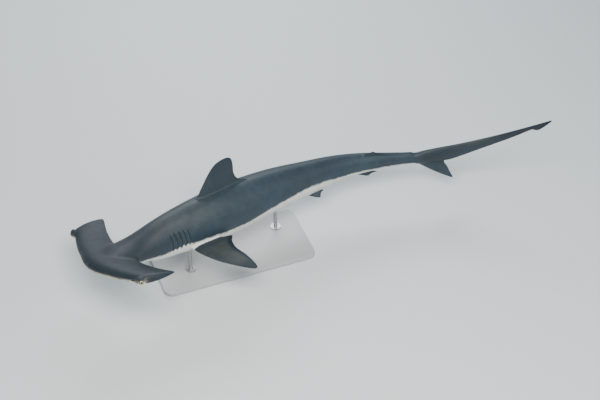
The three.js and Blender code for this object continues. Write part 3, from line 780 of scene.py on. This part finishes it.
def blend_forms(skin):
    """Evens out the remesh's steps and blends the neck, the fins' roots and the head's lobes."""
    verts, edges = coordinates(skin.data), edge_ends(skin.data)
    verts = even_out(verts, edges, np.ones(len(verts)), VOXEL_ROUNDS)
    gap = trunk_gap(verts)
    neck = blend_zone(verts, gap, NECK_REACH, NECK_STARTS, NECK_ENDS)
    verts = relax(verts, edges, neck, NECK_ROUNDS)
    roots = blend_zone(verts, gap, ROOT_REACH, ROOTS_START, ROOTS_END)
    for _ in range(ROOT_ROUNDS // ROUNDS_PER_NORMALS):
        verts = relax(verts, edges, roots, ROUNDS_PER_NORMALS, normals=normals_of(skin.data, verts))
    verts = relax(verts, edges, roots * ROOT_SOFTENING, SOFTEN_ROUNDS)
    verts = even_out(verts, edges, np.maximum(roots, neck), SOFTEN_ROUNDS)
    verts = relax(verts, edges, lobe_share(verts), LOBE_ROUNDS)
    skin.data.vertices.foreach_set("co", verts.ravel())


def make_skin():
    """The whole outer surface, still straight, and its points. It is meshed more finely near details."""
    forms = [trunk_form(), wing_form(), tail_form()]
    forms.extend(fin_form(fin, midline_place(fin)) for fin in MIDLINE_FINS)
    for side in SIDES.values():
        forms.extend(fin_form(fin, paired_place(fin, side)) for fin in PAIRED_FINS)
        forms.append(ball(eye_centre(side) - eye_axes(side)[0] * BROW_BACK, BROW_RADIUS, BROW_STRETCH))
        forms.append(lid_form(side))
    skin = mesh_object("shark_skin", join(forms))
    remesh = skin.modifiers.new("whole", "REMESH")
    remesh.mode = "VOXEL"
    remesh.voxel_size = VOXEL
    apply_modifiers(skin)
    blend_forms(skin)
    for _ in range(DETAIL_SPLITS):
        refine(skin, near_details(coordinates(skin.data)))
    verts = coordinates(skin.data)
    near = near_details(verts).astype(float)
    return skin, even_out(verts, edge_ends(skin.data), near, DETAIL_ROUNDS)


def carve(skin, verts):
    """Sinks and raises the details. Returns the points and, 0 to 1, how dark a painted shade each gets by how
    deep it lies in a sunk line.
    """
    along, left, up = verts.T
    flank = trunk_gap(verts) < FLANK_REACH
    normals = normals_of(skin.data, verts)
    rise, hollow_shade = np.zeros(len(verts)), np.zeros(len(verts))

    def sink(path, width, depth, fade, lip=0.0, lip_offset=5, lip_width=4, shade=1.0):
        distance, share = path_distance(verts, path, LINE_REACH)
        held = smooth(share, 0, fade) * smooth(1 - share, 0, fade)
        well = np.exp(-(distance / width) ** 4) * held
        raised = lip * hump(distance - lip_offset, lip_width) * mix(LIP_AT_ENDS, 1, held)
        raised *= distance < LINE_REACH - 1
        rise[:] += raised * (1 - well) - depth * well
        hollow_shade[:] = np.maximum(hollow_shade, well * shade)

    def cut_gill(side, at, top, bottom):
        height = smooth(up, bottom - GILL_FADE, bottom) * (1 - smooth(up, top, top + GILL_FADE))
        here = flank * (left * side > GILL_OUT) * height
        past = along - gill_place(at, up)
        flap = np.clip(1 + past / GILL_FLAP, 0, 1) ** GILL_FLAP_POWER * (past < 0)
        rear = hump(np.maximum(past, 0), GILL_REAR) * (past >= 0) * GILL_REAR_SHARE
        slot = np.exp(-((past - GILL_WIDTH / 2) / (GILL_WIDTH / 2)) ** 4)
        rise[:] += here * (GILL_RAISE * (flap + rear) * (1 - slot) - GILL_DEPTH * slot)
        hollow_shade[:] = np.maximum(hollow_shade, here * slot * GILL_SHADE)

    sink(mouth_path(), **MOUTH_LINE)
    sink(vent_path(), **VENT_LINE)
    for side in SIDES.values():
        sink(margin_path(side, NOSTRIL_INNER, NOSTRIL_OUTER), **NOSTRIL_LINE)
        sink(margin_path(side, GROOVE_INNER, NOSTRIL_INNER + GROOVE_OVERLAP), **GROOVE_LINE)
        for at, trim_top, trim_bottom in zip(GILL_SLITS, GILL_TRIM_TOP, GILL_TRIM_BOTTOM):
            cut_gill(side, at, GILL_TOP - trim_top, GILL_BOTTOM + trim_bottom)
    height = np.where(up > 0, up / back_height(along), -up / belly_depth(along))
    rise -= PIT_DEPTH * hump(along - PIT_ALONG, PIT_LENGTH) * smooth(height, *PIT_HEIGHT)
    return verts + normals * rise[:, None], hollow_shade


# What the skin's colours need at each point.
def fin_shares(fin, local):
    """A fin's share of each point, its distance out and its place along the chord, all 0 to 1."""
    x, out, off = local
    lead, trail = through(fin["lead"])(out), through(fin["trail"])(out)
    chord = np.clip((x - lead) / np.maximum(trail - lead, 1), 0, 1)
    near = np.abs(off) < fin["thickness"] * ROOT_SWELL + PAST_OFF
    inside = near & (out < fin["reach"] + PAST_OUT) & (x > lead - PAST_ALONG) & (x < trail + PAST_ALONG)
    return inside * smooth(out, *fin["dark_from"]), np.clip(out / fin["reach"], 0, 1), chord


def wing_line(along, out):
    """The height on the head's wing where the dark back ends, lowered at the lobe tips as a painted shade."""
    line = wing_middle(along, out) - MARGIN_DROP - WING_DROP * smooth(along - wing_front(out), *WING_DROPS)
    return line - TIP_SHADE_DROP * smooth(out, *TIP_SHADE_OUT) * smooth(along, *TIP_SHADE_ALONG)


def pale_depth(verts):
    """How far points lie below the dark back's edge, which is jagged at the gills and carries a painted shade
    at the lobe tips.
    """
    along, left, up = verts.T
    out = np.abs(left)
    gills = smooth(along, *STREAKS_START) * (1 - smooth(along, *STREAKS_END))
    waves = 0.5 - 0.5 * np.cos(2 * math.pi * (along - GILL_SLITS[0]) / STREAK_SPACING)
    trunk_line = through(SHADE_LINE)(along) * belly_depth(along) + GILL_STREAK * gills * waves
    wing = np.maximum(1 - smooth(along, *WING_TO_TRUNK), smooth(out, *TRUNK_TO_WING) * (along < WING_ENDS))
    return mix(trunk_line, wing_line(along, out), wing) - up


def mark_fin(marks, fin, share, chord, dark, pale):
    """Lays a fin's values over the marks."""
    count = fin["reach"] / RAY_SPACING + FEWEST_RAYS
    marks["dark"] = mix(marks["dark"], dark, share)
    marks["pale"] = mix(marks["pale"], pale, share)
    marks["rays"] = np.maximum(marks["rays"], share)
    marks["ray"] = np.where(share > LEAST_SHARE, chord * count, marks["ray"])


def mark_fins(marks, verts, normals):
    """Upright fins are all dark. Paired ones are pale below and darkest at the rim, with a painted shade at
    the root.
    """
    for fin in MIDLINE_FINS:
        share, reach, chord = fin_shares(fin, midline_local(fin, verts))
        mark_fin(marks, fin, share, chord, mix(*fin["darkness"], reach), ALL_DARK)
    for fin in PAIRED_FINS:
        for side in SIDES.values():
            share, reach, chord = fin_shares(fin, paired_local(fin, side, verts))
            rim = np.maximum(smooth(chord, *RIM_CHORD), smooth(reach, *RIM_REACH))
            # The dark rim is the fin's own colour; the darkness at the root is painted shade.
            edge = np.maximum(rim, (1 - smooth(reach, *ROOT_SHADE_FADES)) * ROOT_SHADE_DARKNESS)
            pale = -normals[:, 2] * PALE_SLOPE - PALE_START - PALE_RIM * rim
            mark_fin(marks, fin, share, chord, fin["darkness"] * edge, pale)
            marks["warm"] = np.maximum(marks["warm"], fin["warmth"] * share * (1 - edge))


def mark_tail(marks, verts):
    """The tail fin's upper lobe: a lighter, warmer leading edge, then rays, and a dark outer part."""
    along, _, up = verts.T
    other_fin = marks["rays"] > 0.5
    share = smooth(along, *TAIL_STARTS) * ~other_fin
    band = np.clip((through(TAIL_TOP)(along) - up) / TAIL_BAND, 0, 1)
    dark = mix(*TAIL_DARKNESS, smooth(band, *TAIL_BAND_DARK))
    dark = mix(dark, TAIL_TIP_DARKNESS, smooth(along, *TAIL_DARKENS))
    ray = (along - STALK_END + TAIL_RAY_SLANT * up) / TAIL_RAY_SPACING
    marks["dark"] = mix(marks["dark"], dark, share)
    marks["pale"] = mix(marks["pale"], ALL_DARK, share)
    marks["ray"] = np.where((along > STALK_END) & ~other_fin, ray, marks["ray"])
    marks["rays"] = np.where(other_fin, marks["rays"], share * smooth(band, *TAIL_BAND_RAYS))
    marks["warm"] = np.maximum(marks["warm"], share * (1 - smooth(band, *TAIL_BAND_WARM)))


def cream_marks(verts):
    """The spots below the eyes, and the head's front margin: partly its pale colour, partly a painted
    highlight.
    """
    along, left, up = verts.T
    out = np.abs(left)
    brow = np.zeros(len(verts))
    for side in SIDES.values():
        brow += hump(eye_distance(verts, side), BROW_SPOT) * smooth(eye_centre(side)[2] - up, *BROW_SPOT_UP)
    margin = hump(along - wing_front(np.minimum(out, WING_REACH)), MARGIN_WIDTH)
    margin *= hump(up - wing_line(along, out) + MARGIN_BELOW, MARGIN_HEIGHT) * (along < MARGIN_ENDS)
    return np.clip(np.maximum(brow * BROW_CREAM, margin), 0, 1)


def colour_marks(verts, normals):
    """All marks by name, as skin_material() uses them."""
    along, _, up = verts.T
    back_warm = (1 - smooth(along, *BACK_COOLS)) * smooth(up, *BACK_WARM_UP) * BACK_WARMTH
    marks = dict(
        pale=pale_depth(verts),
        dark=HEAD_DARKNESS * (1 - smooth(along, *HEAD_LIGHTENS)),
        ray=np.zeros(len(verts)),
        rays=np.zeros(len(verts)),
        warm=np.maximum(back_warm, (1 - smooth(along, *HEAD_COOLS)) * HEAD_WARMTH))
    mark_fins(marks, verts, normals)
    mark_tail(marks, verts)
    above = up - through(TAIL_BOTTOM)(along)
    marks["scar"] = hump(along - SCAR_ALONG, SCAR_LENGTH) * hump(above, SCAR_HEIGHT)
    marks["cream"] = cream_marks(verts)
    lateral = up - through(LATERAL_LINE)(along) * back_height(along)
    marks["lateral"] = np.where((along > HEAD_END) & (marks["rays"] < NO_RAYS), lateral, FAR)
    return marks


def keep_values(mesh, name, values):
    kind, field = ("FLOAT_VECTOR", "vector") if values.ndim == 2 else ("FLOAT", "value")
    mesh.attributes.new(name, kind, "POINT").data.foreach_set(field, values.astype(np.float32).ravel())


def pose(obj, verts):
    """Puts an object's points in their places in the pose, and keeps where they were as "body"."""
    obj.data.vertices.foreach_set("co", bend(verts).ravel())
    obj.data.update()
    obj.data.polygons.foreach_set("use_smooth", np.ones(len(obj.data.polygons), bool))
    keep_values(obj.data, "body", verts * MM)


# Materials. A pattern is its scale, detail, roughness and distortion. A tone or roughness is a pattern's
# low and high value and what it gives there.
SLATE = (0.022, 0.037, 0.050, 1)
SLATE_WARM = (0.038, 0.044, 0.043, 1)
SLATE_DEEP = (0.011, 0.018, 0.026, 1)
BELLY_CREAM = (0.66, 0.66, 0.60, 1)
# The head's front edge: partly its own pale colour, partly a painted highlight.
MARGIN_CREAM_AND_HIGHLIGHT = (0.60, 0.55, 0.43, 1)
SCAR_PINK = (0.38, 0.13, 0.12, 1)
# Painted shade in the sunk lines and gill slits.
HOLLOW_SHADE_BLACK = (0.010, 0.010, 0.012, 1)
BROAD = (5.5, 4, 0.6, 0.4)
MOTTLE = (38, 5, 0.62)
FINE = (420, 3, 0.6)
GRAIN_SCALE = 620
BROAD_TONE = (0.3, 0.7, 0.84, 1.18)
MOTTLE_TONE = (0.25, 0.75, 0.86, 1.15)
FINE_TONE = (0.3, 0.7, 0.93, 1.08)
RAY_TONE = 0.05
LATERAL_TONE = (0.6, 2.2, 0.14, 0.0)
BELLY_MOTTLE_TONE = (0.2, 0.8, 0.88, 1.06)
BELLY_FINE_TONE = (0.3, 0.7, 0.96, 1.03)
RAGGED_BY_MOTTLE = 22
RAGGED_BY_FINE = 6
PALE_EDGE = (-7, 8)
SKIN_ROUGHNESS = (0.3, 0.7, 0.44, 0.56)
PALE_ROUGHER = 0.05

IRIS_DARK = (0.20, 0.17, 0.10, 1)
IRIS_GOLD = (0.44, 0.39, 0.26, 1)
IRIS_OUTER = (0.07, 0.06, 0.045, 1)
EYE_RIM = (0.03, 0.03, 0.028, 1)
PUPIL_BLACK = (0.004, 0.005, 0.006, 1)
PUPIL_WIDTH = 0.21
PUPIL_HEIGHT = 0.38
IRIS_FLECKS = (9, 5, 0.7, 0.6)
IRIS_DARKENS = (0.45, 0.7)
IRIS_ENDS = (0.7, 0.78)

LACQUER_GREY = (0.40, 0.415, 0.425, 1)
LACQUER_TONE = (0.3, 0.7, 0.96, 1.03)
LACQUER_ROUGHNESS = (0.3, 0.7, 0.46, 0.56)
STEEL_GREY = (0.44, 0.45, 0.46, 1)
BRUSH_STRETCH = (2600, 2600, 60)
BRUSHED = (1, 4, 0.6)
STEEL_TONE = (0.3, 0.7, 0.88, 1.06)
STEEL_ROUGHNESS = (0.3, 0.7, 0.32, 0.44)
CLOUD_ROUGHER = 0.06
FLOOR_GREY = (0.62, 0.66, 0.67, 1)


def add(tree, kind, inputs=(), **settings):
    """A new shader node. Inputs are values or other nodes' outputs."""
    made = tree.nodes.new("ShaderNode" + kind)
    for name, value in settings.items():
        setattr(made, name, value)
    for key, value in dict(inputs).items():
        if isinstance(value, bpy.types.NodeSocket):
            tree.links.new(value, made.inputs[key])
        else:
            made.inputs[key].default_value = value
    return made


def calc(tree, operation, a, b=0.0, c=0.0):
    return add(tree, "Math", {0: a, 1: b, 2: c}, operation=operation).outputs[0]


def times(tree, first, *others):
    """The product of some values."""
    for other in others:
        first = calc(tree, "MULTIPLY", first, other)
    return first


def length(tree, a, b):
    """The length of the sum of two values at right angles."""
    squares = [calc(tree, "POWER", value, 2.0) for value in (a, b)]
    return calc(tree, "SQRT", calc(tree, "ADD", *squares))


def span(tree, value, low, high, start=0.0, end=1.0):
    """Goes from start to end while a value goes from low to high."""
    inputs = {0: value, 1: low, 2: high, 3: start, 4: end}
    return add(tree, "MapRange", inputs, interpolation_type="SMOOTHSTEP").outputs[0]


def blend(tree, share, a, b):
    return add(tree, "Mix", {0: share, 6: a, 7: b}, data_type="RGBA").outputs[2]


def scaled(tree, shade, by):
    """A colour, or another node's colour, made lighter or darker."""
    first = shade[:3] if isinstance(shade, tuple) else shade
    return add(tree, "VectorMath", {0: first, "Scale": by}, operation="SCALE").outputs[0]


def noise(tree, place, scale, detail, roughness=0.55, distortion=0.0):
    inputs = dict(Vector=place, Scale=scale, Detail=detail, Roughness=roughness, Distortion=distortion)
    return add(tree, "TexNoise", inputs).outputs[0]


def values_of(tree, name):
    """The values that the mesh keeps under a name."""
    return add(tree, "Attribute", attribute_name=name).outputs


def new_material(name, **constants):
    material = bpy.data.materials.new(name)
    material.use_nodes = True
    shader = material.node_tree.nodes["Principled BSDF"]
    for key, value in constants.items():
        shader.inputs[key.replace("_", " ")].default_value = value
    return material, material.node_tree, shader


def connect(tree, shader, height, strength, depth, **inputs):
    """Gives a shader its bump, from a height, and other inputs by name."""
    bump = add(tree, "Bump", {"Strength": strength, "Distance": depth, "Height": height})
    tree.links.new(bump.outputs[0], shader.inputs["Normal"])
    for key, value in inputs.items():
        tree.links.new(value, shader.inputs[key.replace("_", " ")])


def skin_material():
    """Dark slate above and cream below, by the marks kept on the skin.

    pale is the depth below the dark back's edge, dark and warm tint the upper side, ray counts the fins'
    rays, rays is where they show, lateral is the height over the lateral line, and the rest are shares.
    """
    material, tree, shader = new_material(
        "shark_skin", Coat_Weight=0.05, Coat_Roughness=0.3, Specular_IOR_Level=0.3)

    def mark(name):
        return values_of(tree, name)["Fac"]

    body = values_of(tree, "body")["Vector"]
    broad, mottle, fine = (noise(tree, body, *pattern) for pattern in (BROAD, MOTTLE, FINE))
    grain = add(tree, "TexVoronoi", {"Vector": body, "Scale": GRAIN_SCALE}).outputs["Distance"]
    ray = calc(tree, "SINE", times(tree, mark("ray"), 2 * math.pi))
    ridges = times(tree, ray, mark("rays"))

    dark = span(tree, calc(tree, "ADD", mark("dark"), times(tree, mottle, 0.3)), 0.15, 1.15)
    warm = times(tree, mark("warm"), span(tree, broad, 0.25, 0.7))
    upper = blend(tree, dark, blend(tree, warm, SLATE, SLATE_WARM), SLATE_DEEP)
    tone = times(
        tree, span(tree, broad, *BROAD_TONE), span(tree, mottle, *MOTTLE_TONE), span(tree, fine, *FINE_TONE))
    tone = calc(tree, "ADD", tone, times(tree, ridges, RAY_TONE))
    line = calc(tree, "ABSOLUTE", mark("lateral"))
    tone = calc(tree, "ADD", tone, span(tree, line, *LATERAL_TONE))
    upper = scaled(tree, upper, tone)

    belly_tone = times(tree, span(tree, mottle, *BELLY_MOTTLE_TONE), span(tree, fine, *BELLY_FINE_TONE))
    lower = scaled(tree, BELLY_CREAM, belly_tone)
    ragged = mark("pale")
    for pattern, by in ((mottle, RAGGED_BY_MOTTLE), (fine, RAGGED_BY_FINE)):
        ragged = calc(tree, "MULTIPLY_ADD", calc(tree, "SUBTRACT", pattern, 0.5), by, ragged)
    pale = span(tree, ragged, *PALE_EDGE)
    base = blend(tree, pale, upper, lower)
    cream = times(tree, mark("cream"), span(tree, mottle, 0.3, 0.6, 0.55, 1.0))
    # The front margin's band: partly pale underside, partly a painted highlight.
    base = blend(tree, cream, base, scaled(tree, MARGIN_CREAM_AND_HIGHLIGHT, belly_tone))
    raw = times(tree, span(tree, mark("scar"), 0.2, 0.7), span(tree, fine, 0.35, 0.55))
    base = blend(tree, raw, base, SCAR_PINK)
    # Painted shade: the sunk lines and gill slits darken towards black by their depth.
    base = blend(tree, span(tree, mark("hollow_shade"), 0.1, 0.7), base, HOLLOW_SHADE_BLACK)

    rough = calc(tree, "ADD", span(tree, mottle, *SKIN_ROUGHNESS), times(tree, pale, PALE_ROUGHER))
    height = times(tree, fine, 0.6)
    for pattern, by in ((grain, -0.5), (mottle, 0.7), (ridges, 0.15)):
        height = calc(tree, "MULTIPLY_ADD", pattern, by, height)
    connect(tree, shader, height, 0.5, 0.0009, Base_Color=base, Roughness=rough)
    return material


def eye_material():
    """A dark upright pupil in a flecked gold iris with a dark rim, under a clear coat."""
    material, tree, shader = new_material("eye", Coat_Weight=1.0, Coat_Roughness=0.03, Roughness=0.22)
    place = values_of(tree, "eye")["Vector"]
    _, across, up = add(tree, "SeparateXYZ", {0: place}).outputs
    radius = length(tree, across, up)
    pupil = length(tree, calc(tree, "DIVIDE", across, PUPIL_WIDTH), calc(tree, "DIVIDE", up, PUPIL_HEIGHT))
    flecks = noise(tree, place, *IRIS_FLECKS)
    iris = blend(tree, span(tree, flecks, 0.35, 0.7), IRIS_DARK, IRIS_GOLD)
    iris = blend(tree, span(tree, radius, *IRIS_DARKENS), iris, IRIS_OUTER)
    rim = scaled(tree, EYE_RIM, span(tree, flecks, 0.3, 0.7, 0.7, 1.4))
    shown = blend(tree, span(tree, radius, *IRIS_ENDS), iris, rim)
    shown = blend(tree, span(tree, pupil, 0.92, 1.08, 1.0, 0.0), shown, PUPIL_BLACK)
    connect(tree, shader, flecks, 0.2, 0.0002, Base_Color=shown)
    return material


def lacquer_material():
    """The stand base's lacquer, with a fine orange peel."""
    material, tree, shader = new_material("stand_lacquer", Coat_Weight=0.2, Coat_Roughness=0.35)
    place = add(tree, "TexCoord").outputs["Object"]
    cloud, peel = noise(tree, place, scale=3, detail=4), noise(tree, place, scale=260, detail=2)
    shade = scaled(tree, LACQUER_GREY, span(tree, cloud, *LACQUER_TONE))
    rough = span(tree, cloud, *LACQUER_ROUGHNESS)
    connect(tree, shader, peel, 0.25, 0.0003, Base_Color=shade, Roughness=rough)
    return material


def steel_material():
    """The rods' steel, brushed lengthwise."""
    material, tree, shader = new_material("stand_steel", Metallic=1.0)
    place = add(tree, "TexCoord").outputs["Object"]
    stretched = add(tree, "Mapping", {0: place, 3: BRUSH_STRETCH}).outputs[0]
    brushed, cloud = noise(tree, stretched, *BRUSHED), noise(tree, place, scale=30, detail=3)
    shade = scaled(tree, STEEL_GREY, span(tree, brushed, *STEEL_TONE))
    rough = calc(tree, "ADD", span(tree, brushed, *STEEL_ROUGHNESS), times(tree, cloud, CLOUD_ROUGHER))
    connect(tree, shader, brushed, 0.3, 0.0001, Base_Color=shade, Roughness=rough)
    return material


# The skin.
skin, straight = make_skin()
straight, hollow_shade = carve(skin, straight)
marks = colour_marks(straight, normals_of(skin.data, straight))
pose(skin, straight)
for name, values in marks.items():
    keep_values(skin.data, name, values)
keep_values(skin.data, "hollow_shade", hollow_shade)
skin.data.materials.append(skin_material())
FLESH = [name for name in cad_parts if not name.startswith(("stand_", "eye_"))]
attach(skin, "root")
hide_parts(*FLESH)

# The eyes.
eye_finish = eye_material()
for name, side in SIDES.items():
    eye = mesh_object("eyeball_" + name, ball(eye_centre(side), EYE_RADIUS, levels=48, sides=64))
    verts = coordinates(eye.data)
    offset = (verts - eye_centre(side)) / EYE_RADIUS
    local = offset @ np.array(eye_axes(side)).T
    edge = math.cos(CORNEA_ANGLE)
    cap = smooth(local[:, 0], edge - CORNEA_FADE[0], edge + CORNEA_FADE[1])
    pose(eye, verts + offset * (CORNEA_RISE * cap)[:, None])
    keep_values(eye.data, "eye", local)
    eye.data.materials.append(eye_finish)
    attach(eye, "root")
    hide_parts("eye_" + name)

# The stand.
lacquer, steel = lacquer_material(), steel_material()
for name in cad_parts:
    if name.startswith("stand_"):
        finish = steel if "rod" in name else lacquer
        for slot in bpy.data.objects[name].material_slots:
            slot.material = finish

# Floor, light and camera.
FLOOR_HALF = 12
corners = [(x * FLOOR_HALF, y * FLOOR_HALF, 0) for x, y in ((-1, -1), (1, -1), (1, 1), (-1, 1))]
floor = mesh_object("floor", (np.array(corners, float), np.array([(0, 1, 2, 3)])))
pale_floor, _, _ = new_material("floor", Base_Color=FLOOR_GREY, Roughness=0.8)
floor.data.materials.append(pale_floor)

SKY_TINT = (0.85, 0.93, 1.0, 1)
SKY_STRENGTH = 0.42
world = bpy.data.worlds.new("world")
bpy.context.scene.world = world
world.use_nodes = True
sky = world.node_tree.nodes["Background"].inputs
sky["Color"].default_value = SKY_TINT
sky["Strength"].default_value = SKY_STRENGTH

# Each light's name, place, target, size, power and tint.
LIGHTS = (
    ("key", (-0.7, -2.3, 3.8), (0.3, 0, 0.3), (2.2, 1.4), 245, (1, 0.97, 0.93)),
    ("fill", (2.8, -2.8, 2.2), (0.3, 0, 0.3), (2.5, 2.5), 55, (0.9, 0.96, 1)),
    ("back", (0.8, 3.2, 2.6), (0.2, 0, 0.3), (3.2, 1.2), 120, (0.94, 0.98, 1)))


def area_light(name, place, target, size, power, tint):
    data = bpy.data.lights.new(name, "AREA")
    data.shape = "RECTANGLE"
    data.size, data.size_y = size
    data.energy = power
    data.color = tint
    light = bpy.data.objects.new(name, data)
    light.location = place
    light.rotation_euler = (Vector(target) - Vector(place)).to_track_quat("-Z", "Y").to_euler()
    bpy.context.scene.collection.objects.link(light)


for light in LIGHTS:
    area_light(*light)

CAMERA_AZIMUTH = -21.17 * DEGREE
CAMERA_ELEVATION = 43 * DEGREE
CAMERA_DISTANCE = 7.0
CAMERA_AIM = Vector((0.3275, -0.1092, 0.35))
CAMERA_FOCUS_PX = 1449.5
IMAGE_WIDTH_PX = 600
SENSOR_MM = 36
CAMERA_SEES = 100
camera_data = bpy.data.cameras.new("camera")
camera_data.sensor_fit = "HORIZONTAL"
camera_data.sensor_width = SENSOR_MM
camera_data.lens = CAMERA_FOCUS_PX * SENSOR_MM / IMAGE_WIDTH_PX
camera_data.clip_end = CAMERA_SEES
camera = bpy.data.objects.new("camera", camera_data)
back = Vector((
    math.sin(CAMERA_AZIMUTH) * math.cos(CAMERA_ELEVATION),
    -math.cos(CAMERA_AZIMUTH) * math.cos(CAMERA_ELEVATION),
    math.sin(CAMERA_ELEVATION)))
camera.location = CAMERA_AIM + back * CAMERA_DISTANCE
camera.rotation_euler = back.to_track_quat("Z", "Y").to_euler()
bpy.context.scene.collection.objects.link(camera)
bpy.context.scene.camera = camera
